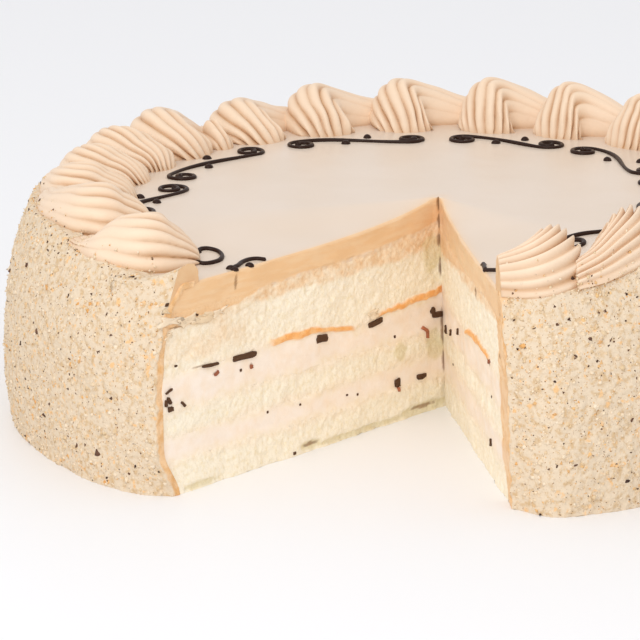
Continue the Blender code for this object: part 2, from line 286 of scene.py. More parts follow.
def mask(material, name):
    return addNode(material, "ShaderNodeAttribute", {"attribute_name": name}), "Fac"


def spots(material, size, low, high, detail, flatter=1.0):
    # a noise pattern cut to a range; size is in metres, and flatter squeezes it in height
    turned = addNode(material, "ShaderNodeMapping", {"Scale": (1.0, 1.0, flatter)},
                     {"Vector": ownPlace(material)})
    pattern = addNode(material, "ShaderNodeTexNoise", {"Scale": 1.0 / size, "Detail": detail},
                      {"Vector": (turned, 0)})
    span = {"From Min": low, "From Max": high}
    return addNode(material, "ShaderNodeMapRange", span, {"Value": (pattern, 0)}), 0


def bumps(material, shader, layers):
    # layers: list of (size in metres, height in metres, detail)
    before = None
    for size, height, detail in layers:
        pattern = addNode(material, "ShaderNodeTexNoise", {"Scale": 1.0 / size, "Detail": detail},
                          {"Vector": ownPlace(material)})
        links = {"Height": (pattern, 0)}
        if before:
            links["Normal"] = (before, 0)
        before = addNode(material, "ShaderNodeBump", {"Distance": height, "Strength": 1.0}, links)
    material.node_tree.links.new(before.outputs[0], shader.inputs["Normal"])


def finishColour(material, shader, source):
    material.node_tree.links.new(source[0].outputs[source[1]], shader.inputs["Base Color"])


# Looks of the soft foods. "tones" lie over the base colour in their order: colour, size of its patches, range
# of the noise, detail. The groove colour is painted shade, laid into the grooves and low edges by a mask;
# "cut" adds what a knife shows, and "bumps" has size, height and detail.
foodLooks = {
    # satin, pale on its crests, with painted shade darkening its grooves and low edges
    "coffee buttercream piped": {"base": "F0D6BA", "grooveShade": "C6986A", "roughness": 0.5,
                                 "bumps": [(0.004, 0.0002, 2.0), (0.0008, 0.00006, 3.0)]},
    # smooth and a little darker
    "buttercream knife cut": {"base": "DFB588", "tones": [("E5C094", 0.004, 0.40, 0.65, 2.0)],
                              "roughness": 0.45, "bumps": [(0.003, 0.0002, 2.0)]},
    # set: satin, reflecting the pale room
    "coffee icing poured": {"base": "E0CDB9", "tones": [("E3D1BF", 0.03, 0.35, 0.70, 2.0)], "cut": True,
                            "roughness": 0.3, "bumps": [(0.012, 0.0003, 1.0)]},
    # icing under ground nuts: matt, pale with warm patches and fine brown grains
    "nut crumb coat": {"base": "E2CEB3", "tones": [("D2B38A", 0.0019, 0.50, 0.68, 3.0),
                                                   ("EDC08A", 0.0026, 0.61, 0.70, 3.0),
                                                   ("A97B4C", 0.0009, 0.66, 0.74, 2.0)], "cut": True,
                       "roughness": 0.85, "bumps": [(0.0017, 0.0007, 3.0)]},
    # torn by the knife: matt and open
    "yellow sponge crumb": {"base": "F9EED8", "tones": [("F1E1BF", 0.0016, 0.48, 0.75, 4.0)], "cut": True,
                            "roughness": 0.9, "ior": 1.4, "bumps": [(0.0010, 0.0003, 4.0)]},
    # smeared by the knife: smooth with faint streaks
    "coffee cream filling": {"base": "FAECDD", "tones": [("F7E3CC", 0.005, 0.40, 0.70, 3.0)], "cut": True,
                             "roughness": 0.55, "bumps": [(0.003, 0.0002, 3.0)]},
}

# What a knife shows at the two cut faces, with some painted shade, in the order in which it lies over the plain
# crumb or cream.
cutLooks = {
    "moist": ("F3D5AF", "E9C296"),     # sponge soaked with coffee, and its darker patches
    "smear": ("F9EAD4", "F4E1C3"),     # where crumb and cream are dragged into each other
    "band": ("ECC292", "EFCBA0"),      # poured icing cut through
    "skin": ("F5B068", "F8C488"),      # browned line over the upper cream
    "strip": ("ECC598", "E2AF74"),     # coffee icing of the side
    "hollowShade": ("CDBB78", "DCCD94"),      # painted greenish shade in the inner corner at the slice's point and along the foot
    "specksAndShade": ("7A5232", "8F6238"),     # dark specks, and painted shade in the gap where the cuts meet, under small ledges and along the foot
}


def cutTone(material, base):
    for number, (name, tones) in enumerate(cutLooks.items()):
        size, flatter = (0.0090, 5.0) if name == "band" else (0.0016 + 0.0004 * number, 1.0)
        patch = spots(material, size, 0.42, 0.66, 3.0, flatter)
        base = mixColours(material, mask(material, name), base, mixColours(material, patch, *tones))
    return base


def foodMaterial(name):
    looks = foodLooks[name]
    material, shader = newMaterial(name, {"Roughness": looks["roughness"], "IOR": looks.get("ior", 1.45)})
    tone = looks["base"]
    # painted shade: the groove colour darkens the grooves and low edges where the mask is high
    if "grooveShade" in looks:
        tone = mixColours(material, mask(material, "grooveShade"), tone, looks["grooveShade"])
    for patch, *pattern in looks.get("tones", ()):
        tone = mixColours(material, spots(material, *pattern), tone, patch)
    finishColour(material, shader, cutTone(material, tone) if "cut" in looks else tone)
    bumps(material, shader, looks["bumps"])
    return material


def chocolateMaterial(name, tone, roughness):
    # dark chocolate: glossy where it was drizzled, duller where it was chopped
    material, shader = newMaterial(name, {"Base Color": colour(tone), "Roughness": roughness, "IOR": 1.45,
                                          "Specular IOR Level": 0.2})
    bumps(material, shader, [(0.0015, 0.0001, 1.0)])
    return material


def crumbMaterial(name, first, second, roughness):
    # one kind of crumb: each piece has its own tint between two colours
    material, shader = newMaterial(name, {"Roughness": roughness, "IOR": 1.45})
    finishColour(material, shader, mixColours(material, mask(material, "tint"), first, second))
    return material


buttercream, knifeCut, glaze, coat, sponge, filling = map(foodMaterial, foodLooks)
drizzle = chocolateMaterial("dark chocolate drizzled", "2E1A10", 0.36)
chopped = chocolateMaterial("dark chocolate chopped", "553A27", 0.55)
print("materials made")

# Layers: closed solids with two fine cut faces. Tables that differ by side have the left cut first.
layerLooks = {
    "faceStep": 0.00042,             # grid of the cut faces
    "faceLengths": (0.124, 0.118),
    "faceEnd": 0.12,
    "wallSteps": 130,
    "sharpFrom": 62,
    "middle": (0.01, 0.045, 0.0),    # from the slice's point to where the flat ends are closed
    "inset": 0.0033,                 # how far the layers' wall stands back inside the nut coat
    "lidInset": 0.0026,              # the same for the icing on top
    "roundTop": 0.0006,              # rounding of the top edge at the cuts
    "topShade": (0.8, 0.0014),       # share and width of the cut icing's colour on the top, beside the cuts
    "pointFade": 0.003,              # distance over which the relief fades to the slice's point
    "fade": 0.0007,                  # height over which crumb turns to cream
    "bandFade": 0.0006,
    "soakFade": 0.0026,
    "smearReach": 0.0030,
    "shares": {"smear": 0.9, "strip": 0.85, "rightBand": 0.68, "hollowShade": 0.38, "specksAndShade": 0.7},
    # heights of the relief
    "broad": 0.0004, "torn": 0.0003, "pores": 0.00018, "pits": 0.0009, "streaks": 0.00025,
    "skinOut": 0.0005, "footDentIn": 0.0006,
    # heights along each cut, in millimetres: distance from the slice's point, height
    "edges": {
        "bottom": ([(0, 0)], [(0, 0)]),
        "one": ([(0, 10.4), (50, 10.0), (130, 10.2)], [(0, 10.2)]),
        "two": ([(0, 18.2), (60, 17.2), (130, 17.8)], [(0, 17.8)]),
        "three": ([(0, 25.7), (130, 25.5)], [(0, 25.7)]),
        "four": ([(0, 38.0), (15.5, 36.6), (31, 35.0), (41.3, 33.8), (61.2, 36.7), (72.9, 37.1),
                  (79.5, 36.6), (100, 36.0), (130, 36.1)],
                 [(0, 37.0), (30, 35.3), (42, 35.6), (66, 37.4), (76, 35.2), (130, 36.1)]),
        "five": ([(0, 59.0)], [(0, 59.0)]),
        "top": ([(0, 67.6)], [(0, 67.6)]),
        "moist": ([(0, 52.5), (23.6, 53.2), (42, 53.6), (64.4, 54.0), (81.5, 54.0), (88, 55.5), (130, 52.0)],
                  [(0, 49.0), (27, 53.2), (130, 58.0)]),
        "band": ([(0, 60.1), (18.6, 60.7), (41.6, 60.3), (64, 60.4), (82, 59.0), (90, 56.2), (97, 55.3),
                  (112, 53.6), (130, 51.8)],
                 [(0, 50.0), (27, 54.5), (49, 58.8), (70, 60.0), (87, 58.0), (130, 56.0)]),
    },
    # browned line over the upper cream: stretches along each cut
    "skins": ([(-0.010, 0.0325), (0.0400, 0.0800)], [(0.0400, 0.0770)]),
    # coffee icing of the side, as it is spread over the right face's outer end: height, start
    "strip": [(0.0, 0.1075), (0.0156, 0.1005), (0.0294, 0.0972), (0.049, 0.0965), (0.0676, 0.0970)],
    # painted greenish shade in the inner corner at the slice's point and along the foot, in millimetres: distance,
    # height, half length, half height
    "hollowShade": ([(4.0, 50.5, 4.5, 5.5), (4.0, 21.0, 4.0, 4.5), (20.5, 22.0, 3.0, 2.8), (10.0, 1.6, 11.0, 2.0),
              (62.5, 1.8, 4.0, 1.4), (40.0, 1.0, 20.0, 1.0), (115.0, 1.2, 8.0, 1.0)], []),
    # dark specks, and painted shade in the gap where the cuts meet, under small ledges and along the foot, given
    # in the same way
    "specksAndShadows": ([(0.3, 65.5, 0.6, 2.4), (0.2, 60.0, 0.6, 2.2), (0.6, 54.0, 0.8, 2.2), (0.3, 45.0, 0.6, 2.8),
                (0.3, 26.0, 0.7, 5.0), (0.3, 15.0, 0.6, 3.6), (117.0, 53.4, 3.0, 0.3),
                (107.0, 52.8, 3.6, 0.3), (91.9, 64.0, 0.6, 2.6), (109.6, 56.1, 1.6, 0.3),
                (102.9, 33.1, 1.0, 0.5), (91.8, 31.6, 0.4, 0.4), (87.3, 32.1, 0.6, 0.6),
                (109.0, 36.6, 3.0, 0.3), (62.5, 2.1, 2.8, 0.6), (10.5, 2.4, 5.0, 0.6)],
               [(60.5, 56.2, 1.1, 2.2), (74.2, 34.9, 1.2, 1.2), (101.2, 43.0, 1.4, 1.0),
                (105.2, 60.5, 1.0, 0.5)]),
}


def edgeHeight(name, left, distance):
    table = layerLooks["edges"][name][0 if left else 1]
    flat = np.interp(distance, *np.transpose(table) / 1000)
    if name in ("bottom", "top"):
        return flat
    seed = sum(map(ord, name))
    places = np.stack([distance, np.full_like(distance, 0.5 if left else 0.9), np.zeros_like(distance)], -1)
    rough = 0.0003 if name == "band" else 0.0005
    return flat + rough * noise(places, 0.006, seed) + 0.7 * rough * noise(places, 0.0016, seed + 1)


def patches(name, left, distance, z, places, seed):
    # soft ellipses with ragged edges
    total = np.zeros(places.shape[:-1])
    ragged = 0.5 * fractal(places, 0.0016, 2, seed)
    for d, height, halfLength, halfHeight in np.reshape(layerLooks[name][0 if left else 1], (-1, 4)) / 1000:
        away = ((distance - d) / halfLength) ** 2 + ((z - height) / halfHeight) ** 2
        total = np.maximum(total, smooth((1.5 + ragged - away) / 0.9))
    return total


def crumbShare(left, distance, z):
    # 1 in sponge and 0 in cream or icing
    names = ("one", "two", "three", "four", "band")
    one, two, three, four, band = (edgeHeight(name, left, distance) for name in names)
    fade = layerLooks["fade"]
    return sum(smooth((z - low) / fade + 0.5) * smooth((high - z) / fade + 0.5)
               for low, high in ((-1.0, one), (two, three), (four, band)))


def skinShare(left, distance, z, places):
    spans = sum(smooth((distance - start) / 0.004) * smooth((end - distance) / 0.004)
                for start, end in layerLooks["skins"][0 if left else 1])
    thick = 0.0012 + 0.0005 * noise(places, 0.009, 45)
    return spans * smooth((thick - np.abs(z - edgeHeight("four", left, distance) - 0.0004)) / 0.0005)


def faceMasks(places, left):
    # what shows at a place on a cut face, before the relief is added
    distance, z, shares = fromPoint(places)[0], places[..., 2], layerLooks["shares"]
    wander = 0.0007 * fractal(places, 0.003, 3, 40)
    band = smooth((z - edgeHeight("band", left, distance) + 0.4 * wander) / layerLooks["bandFade"] + 0.5)
    soak = smooth((z - edgeHeight("moist", left, distance) + wander) / layerLooks["soakFade"] + 0.5)
    soak = soak * np.clip(0.80 + 0.35 * noise(places, 0.0035, 41) + 0.35 * noise(places, 0.0013, 42), 0, 1)
    near = np.min([np.abs(z - edgeHeight(name, left, distance)) for name in ("one", "two", "three", "four")], 0)
    smear = smooth(1.0 - near / layerLooks["smearReach"] + 0.45 * fractal(places, 0.0045, 3, 44))
    if left:
        outer = ramp(distance, 0.072, 0.102) * ramp(z, 0.037, 0.041)
        soak = np.maximum(soak, outer * np.clip(0.38 + 0.3 * noise(places, 0.005, 43), 0, 1))
        strip = 0.0 * z
    else:
        start = np.interp(z, *zip(*layerLooks["strip"]))
        strip = shares["strip"] * smooth((distance - start + 3.0 * wander) / 0.0030)
        band = shares["rightBand"] * band
    return {
        "moist": soak, "smear": shares["smear"] * smear, "band": band,
        "skin": skinShare(left, distance, z, places), "strip": strip,
        # painted greenish shade in the inner corner at the slice's point and along the foot
        "hollowShade": shares["hollowShade"] * patches("hollowShade", left, distance, z, places, 47),
        # dark specks, and painted shade in the gap where the cuts meet, under small ledges and along the foot
        "specksAndShade": shares["specksAndShade"] * patches("specksAndShadows", left, distance, z, places, 48),
    }


def faceRelief(places, left):
    distance, z, looks = fromPoint(places)[0], places[..., 2], layerLooks
    crumb = crumbShare(left, distance, z)
    torn = looks["torn"] * fractal(places, 0.006, 2, 3) + looks["pores"] * fractal(places, 0.0016, 3, 9, 0.6)
    torn = torn - looks["pits"] * np.clip(noise(places, 0.0026, 21) - 0.5, 0, 1)
    streaks = looks["streaks"] * fractal(places * np.array([0.35, 0.35, 1.0]), 0.004, 2, 5)
    relief = looks["broad"] * fractal(places, 0.016, 2, 2) + crumb * torn + (1 - crumb) * streaks
    relief = relief + looks["skinOut"] * skinShare(left, distance, z, places)
    # the relief dents in under the painted shade near the foot
    footDent = patches("hollowShade", left, distance, z, places, 47) * ramp(z, 0.008, 0.004)
    over = looks["roundTop"]
    above = np.clip((z - cake["topHeight"] + over) / over, 0, 1)
    relief = (relief - looks["footDentIn"] * footDent) * (1 - above)
    relief = relief - over * (1 - np.sqrt(1 - above ** 2)) * (z > 0.06)
    return relief * smooth(distance / looks["pointFade"])


def onFace(left, distance, z):
    # places on a cut face, before and after its relief is added
    places = placeAt(cutBearing(left), distance, z)
    return places, places + cutNormal(left) * faceRelief(places, left)[..., None]


def layerLoop(columns, low, high, inset, rows):
    # a grid of points with its masks: rows up the wall, columns round the plan
    share = np.linspace(0.0, 1.0, rows)[:, None]
    parts, shown = [], []
    for left, ends, count in ((True, (1.0, 0.0), columns[0]), (False, (0.0, 1.0), columns[1])):
        along = np.linspace(*ends, count)[None, :]
        distance = along * layerLooks["faceEnd"]
        for _ in range(2):
            z = edgeHeight(low, left, distance) * (1 - share) + edgeHeight(high, left, distance) * share
            distance = along * wallDistance(cutBearing(left), z, inset)
        plain, torn = onFace(left, distance, z)
        parts.append(torn)
        shown.append(faceMasks(plain, left))
    bearing = wallBearings(columns[2] + 2)[None, 1:-1]
    turn = np.linspace(0, 1, columns[2])[None, :]
    edge = np.full((1, 1), layerLooks["faceEnd"])
    lowZ, highZ = (edgeHeight(name, False, edge) * (1 - turn) + edgeHeight(name, True, edge) * turn
                   for name in (low, high))
    z = lowZ * (1 - share) + highZ * share
    wall = placeAt(bearing, wallDistance(bearing, z, inset), z)
    grid = np.concatenate([parts[0], parts[1][:, 1:], wall], 1)
    return grid, {key: np.concatenate([shown[0][key], shown[1][key][:, 1:], 0 * z], 1) for key in cutLooks}


def wallBearings(count):
    # from the right cut round the back to the left one, closer together beside the cuts
    share = np.linspace(0.0, 1.0, count)
    eased = share - 0.127 * np.sin(2 * np.pi * share)
    return cake["rightCut"] + (cake["leftCut"] - 360.0 - cake["rightCut"]) * eased


def closedLayer(name, low, high, inset, lid=False):
    step, middle = layerLooks["faceStep"], np.array([0.06])
    thickness = edgeHeight(high, True, middle)[0] - edgeHeight(low, True, middle)[0]
    columns = (*(int(length / step) for length in layerLooks["faceLengths"]), layerLooks["wallSteps"])
    rows = max(int(thickness / step), 6)
    grid, masks = layerLoop(columns, low, high, inset, rows)
    count = grid.shape[1]
    total = rows * count
    ring = total - count + np.arange(count)
    bottom, top = ((point + layerLooks["middle"] + [0, 0, grid[row, :, 2].mean()])[None] for row in (0, -1))
    faces = [gridFaces(rows, count, True), fanFaces(np.arange(count), total, True)]
    shade = 0.0
    if lid:
        top, topFaces, shade = lidTop(grid[-1], columns, total + 1, ring)
        faces += topFaces
    else:
        faces.append(fanFaces(ring, total + 1))
    for key, values in masks.items():
        ends = np.zeros(1 + len(top))
        if key == "band":
            ends[1:] = shade
        masks[key] = np.append(values.ravel(), ends)
    points = np.concatenate([grid.reshape(-1, 3), bottom, top])
    return makeMesh(name, settle(points), faces, masks, sharpFrom=layerLooks["sharpFrom"])


def lidTop(rim, columns, start, ring):
    # rays from the slice's point: the first lies at the right cut and the last at the left one
    leftCount, rightCount, wallCount = columns
    corner = leftCount + rightCount - 2    # the right face's outer end
    bearing = wallBearings(wallCount + 2)[1:-1, None]
    distance = fromPoint(rim[corner + 1:])[0][:, None] * np.linspace(0.0, 1.0, rightCount)[1:-1]
    places = placeAt(bearing, distance, cake["topHeight"])
    shade = np.zeros(distance.shape)
    over, reach = layerLooks["roundTop"], smooth(distance / layerLooks["pointFade"])
    for left in (True, False):
        beside = turnBetween(bearing, cutBearing(left))
        off = np.where(beside < 90, np.abs(np.sin(np.radians(beside))), 1.0) * distance
        places -= cutNormal(left) * (over * np.exp(-off / over) * reach)[..., None]
        shade += layerLooks["topShade"][0] * np.exp(-off / layerLooks["topShade"][1]) * reach
    places[..., 2] = cake["topHeight"]
    body = start + np.arange(distance.size).reshape(distance.shape)
    pick = leftCount - 1 - np.round(np.linspace(0, leftCount - 1, rightCount)).astype(int)[1:-1]
    rays = np.concatenate([ring[None, leftCount:corner], body, ring[None, pick]])
    rays = np.concatenate([rays, np.append(ring[corner:], ring[0])[:, None]], 1)
    tip = np.stack([np.full(len(rays) - 1, ring[leftCount - 1]), rays[:-1, 0], rays[1:, 0]], 1)
    return places.reshape(-1, 3), [np.roll(quadsOf(rays), -1, 1), tip], shade.ravel()


for nodeName, low, high, material, slotName in (("sponge_bottom", "bottom", "one", sponge, "sponge"),
                                                ("cream_lower", "one", "two", filling, "cream"),
                                                ("sponge_middle", "two", "three", sponge, "sponge"),
                                                ("cream_upper", "three", "four", filling, "cream"),
                                                ("sponge_top", "four", "five", sponge, "sponge")):
    mesh = closedLayer(nodeName + "_cut", low, high, layerLooks["inset"])
    addPiece(nodeName + "_cut", mesh, material, (nodeName,))
print("layers made")

lidMesh = closedLayer("icing_lid", "five", "top", layerLooks["lidInset"], lid=True)
addPiece("icing_lid", lidMesh, glaze, ("coffee_icing",))
print("lid made")

# The side's coat: up the wall, over the shoulder and in under the shells.
coatForm = {
    "aroundSteps": 1000, "wallRows": 84, "topRows": 14, "endSteps": 14, "sharpFrom": 75,
    "lump": 0.0005, "grain": 0.00035,
    "calm": 0.6,                 # how much of the relief is lost from the shoulder inward
    "endRough": (0.0003, 0.0005),
    "endLine": 0.35,             # share of the browned line at the coat's cut ends
    # along the outside: length so far, how far inside the wall, height, how much it faces up
    "outside": [(0.0, 0.0005, 0.0, 0.0), (0.0594, 0.0005, 0.0594, 0.2), (0.0646, 0.0004, 0.0648, 0.5),
                (0.0676, 0.0004, 0.0678, 0.8), (0.0692, 0.0016, 0.0684, 1.0), (0.0745, 0.0066, 0.0680, 1.0)],
    # the same on the inside
    "inside": [(0.0, 0.0036, 0.0, 0.0), (0.0585, 0.0036, 0.0585, 0.0), (0.0594, 0.0030, 0.0592, 0.0),
               (0.0646, 0.0030, 0.0640, 0.0), (0.0676, 0.0032, 0.0662, 0.0), (0.0692, 0.0040, 0.0662, 0.0),
               (0.0745, 0.0068, 0.0664, 0.0)],
}


def coatRelief(places):
    lumps, grains = fractal(places, 0.010, 2, 60), fractal(places, 0.0018, 3, 64, 0.6)
    return coatForm["lump"] * lumps + coatForm["grain"] * grains


def coatPlace(bearing, length, side="outside", raised=0.0):
    # a place on the coat, with its relief on the outside
    lengths, *values = zip(*coatForm[side])
    inset, z, tilt = (np.interp(length, lengths, value) for value in values)
    places = placeAt(bearing, wallDistance(bearing, z, inset), z)
    if side == "outside":
        away = bearingVector(bearing) * np.cos(tilt * np.pi / 2)[..., None]
        away[..., 2] = np.sin(tilt * np.pi / 2)
        calm = 1.0 - coatForm["calm"] * ramp(length, 0.064, 0.070)
        places = places + away * (coatRelief(places) * calm + raised)[..., None]
    places[..., 2] = np.maximum(places[..., 2], 0.0)
    return places


def buildCoat():
    around = np.linspace(cake["leftCut"] - 360.0, cake["rightCut"], coatForm["aroundSteps"])
    corner, end = coatForm["outside"][1][0], coatForm["outside"][-1][0]
    lengths = np.concatenate([np.linspace(0.0, corner, coatForm["wallRows"]),
                              np.linspace(corner, end, coatForm["topRows"])[1:]])
    bearing, length = np.meshgrid(around, lengths)
    outer, inner = coatPlace(bearing, length), coatPlace(bearing, length, "inside")
    points = [outer.reshape(-1, 3), inner.reshape(-1, 3)]
    total = 2 * bearing.size
    index = np.arange(total).reshape(2, *bearing.shape)
    faces = [quadsOf(index[0], True), quadsOf(index[1])]
    shown = {key: [np.zeros(total)] for key in cutLooks}
    strip = ramp(length, 0.064, 0.066) * smooth(1.5 - besideCuts(bearing) / 1.2)
    shown["strip"][0][:bearing.size] = strip.ravel()
    across = np.linspace(0, 1, coatForm["endSteps"])
    low, high = coatForm["endRough"]
    for column, left in ((0, True), (-1, False)):
        ends = outer[:, None, column] * (1 - across[:, None]) + inner[:, None, column] * across[:, None]
        rough = (low + high * fractal(ends, 0.0025, 3, 71)) * smooth(np.minimum(across, 1 - across) / 0.15)
        strip = smooth((across - 0.10 + 0.2 * fractal(ends, 0.003, 2, 73)) / 0.22)
        strip = np.maximum(strip, ramp(lengths, 0.056, 0.059)[:, None])
        line = coatForm["endLine"] * ramp(across, 0.72, 0.92) * smooth(0.5 + 1.3 * noise(ends, 0.007, 74))
        points.append((ends + cutNormal(left) * rough[..., None]).reshape(-1, 3))
        faces.append(gridFaces(len(lengths), len(across), start=total, flip=not left))
        for key in cutLooks:
            shown[key].append({"strip": strip, "skin": line}.get(key, 0 * strip).ravel())
        total += strip.size
    faces += [quadsOf(index[:, 0], True), quadsOf(index[:, -1])]
    masks = {key: np.concatenate(values) for key, values in shown.items()}
    return makeMesh("nut_coat", settle(np.concatenate(points)), faces, masks, sharpFrom=coatForm["sharpFrom"])


addPiece("nut_coat", buildCoat(), coat, ("coffee_icing",))
print("coat made")

# Piped shells.
shellForm = {
    "ring": (0.0065, -0.0024, 0.0936),    # centre and radius of the circle of inner ends
    "middle": 0.1056,                     # radius at which lengths along the border are measured
    "halfWidth": 0.0102,
    "height": 0.0150,
    "reach": 0.0268,             # full length outward of the table below
    "rim": 0.1172,
    # from the inner end to the tail: inner foot (out, sideways, share of the tail), outer foot, height
    "stations": [(0.0000, 0.93, 0.00, 0.0000, -1.00, 0.00, 0.00),
                 (0.0008, 0.88, 0.00, 0.0035, -1.10, 0.00, 0.44),
                 (0.0020, 0.78, 0.00, 0.0085, -1.16, 0.00, 0.74),
                 (0.0036, 0.66, 0.02, 0.0140, -1.14, 0.00, 0.94),
                 (0.0055, 0.54, 0.08, 0.0192, -0.96, 0.02, 1.00),
                 (0.0076, 0.42, 0.20, 0.0236, -0.60, 0.10, 0.94),
                 (0.0096, 0.28, 0.42, 0.0262, -0.10, 0.32, 0.76),
                 (0.0112, 0.14, 0.70, 0.0270, 0.10, 0.62, 0.57),
                 (0.0120, 0.00, 0.95, 0.0265, 0.00, 1.08, 0.46)],
    # how far the outer feet drop over the cake's shoulder: radius, drop
    "shoulder": [(0.1168, 0.0), (0.1184, -0.0030), (0.1209, -0.0082), (0.1232, -0.0136)],
    "ridgeDepth": 0.0015,
    # how the grooves are cut: sharpness, share of the depth, share that fades to the tail. With a sharpness
    # below one they are narrow and the ridges broad. The second set is for the crisp shells.
    "grooves": ((0.55, 1.0, 0.8), (1.5, 1.4, 0.35)),
    "toe": 0.0016,               # how far each ridge bulges out at its inner end
    "swell": (0.0064, 0.0028),
    "lift": -0.0003,
    "wobble": 0.0003,
    "along": 76,
    "across": 161,
    # bearing, width, height, ridges
    "shells": [(-151.0, 1.00, 0.93, 8), (-129.3, 0.98, 1.00, 9), (-111.5, 1.20, 0.90, 9),
               (-92.5, 1.10, 0.82, 10), (-78.0, 1.05, 0.81, 10), (-65.5, 1.02, 0.88, 9), (-53.6, 1.04, 1.00, 7),
               (-34.8, 1.02, 0.86, 7), (-19.9, 1.06, 1.02, 7), (-3.8, 1.06, 1.07, 8), (13.0, 1.08, 1.12, 8),
               (28.2, 1.06, 1.14, 8), (44.5, 1.05, 1.12, 8), (59.5, 1.00, 1.06, 8), (74.5, 1.02, 0.98, 8),
               (89.5, 0.98, 1.00, 8), (104.5, 1.03, 0.97, 9), (119.0, 1.00, 1.01, 8), (132.5, 1.02, 1.04, 9),
               (146.0, 1.03, 1.16, 12), (160.4, 1.06, 1.24, 12)],
    # by number, where 0 is the shell at the left cut: turn of the ridges at the inner end
    "twists": {1: -0.5, 2: -0.45, 3: -0.4, 4: -0.3, 5: -0.9, 6: 0.25, 7: 0.2, 9: 0.15},
    "crisp": (18, 19, 20),       # their ridges are narrow
    "tailDrops": {1: 0.72, 6: 0.62},    # how much lower the tail ends
    "tailShares": {1: 0.80},
    "slim": (2, 3, 4),           # these lie a little further in
    "slimShare": 0.93,
    "overlap": 0.6,
    "ringEnd": 176.0,
    "join": (-44.8, 0.40, 0.66, 4),
    "cutTail": 0.034,            # length of the tail at the left cut
    "cutMoved": (0.0082, 0.94),  # how far out that shell lies, and by what share
    "cutEnd": (0.06, 0.34),      # height left at the end of its tail, and the length over which it falls
    "cutSide": (0.061, 0.0008, 30.0),    # height of the wall that bounds its side, inset, how fast it leans in
    "cutSunk": 0.0009,
    "clinging": {"tries": 500, "from": 0.108, "high": (0.0020, 0.0042)},    # crumbs low on the outer sides
}


def throughKeys(keys, share):
    # a smooth curve through evenly spaced values
    keys = np.asarray(keys, float)
    padded = np.concatenate([[2 * keys[0] - keys[1]], keys, [2 * keys[-1] - keys[-2]]])
    place = np.clip(share, 0, 1) * (len(keys) - 1)
    index = np.minimum(place.astype(int), len(keys) - 2)
    part = place - index
    a, b, c, d = (padded[index + k] for k in range(4))
    return b + 0.5 * part * (c - a + part * (2 * a - 5 * b + 4 * c - d + part * (3 * (b - c) + d - a)))


def ringPoint(ring, bearing, out):
    return np.array([*ring[:2], 0.0]) + bearingVector(bearing) * np.asarray(ring[2] + out)[..., None]


def shellPoint(bearing, out, along):
    turned = bearing + np.degrees(along / shellForm["middle"])
    room = shellForm["rim"] - fromAxis(ringPoint(shellForm["ring"], turned, 0.0))
    return ringPoint(shellForm["ring"], turned, out * room / shellForm["reach"])


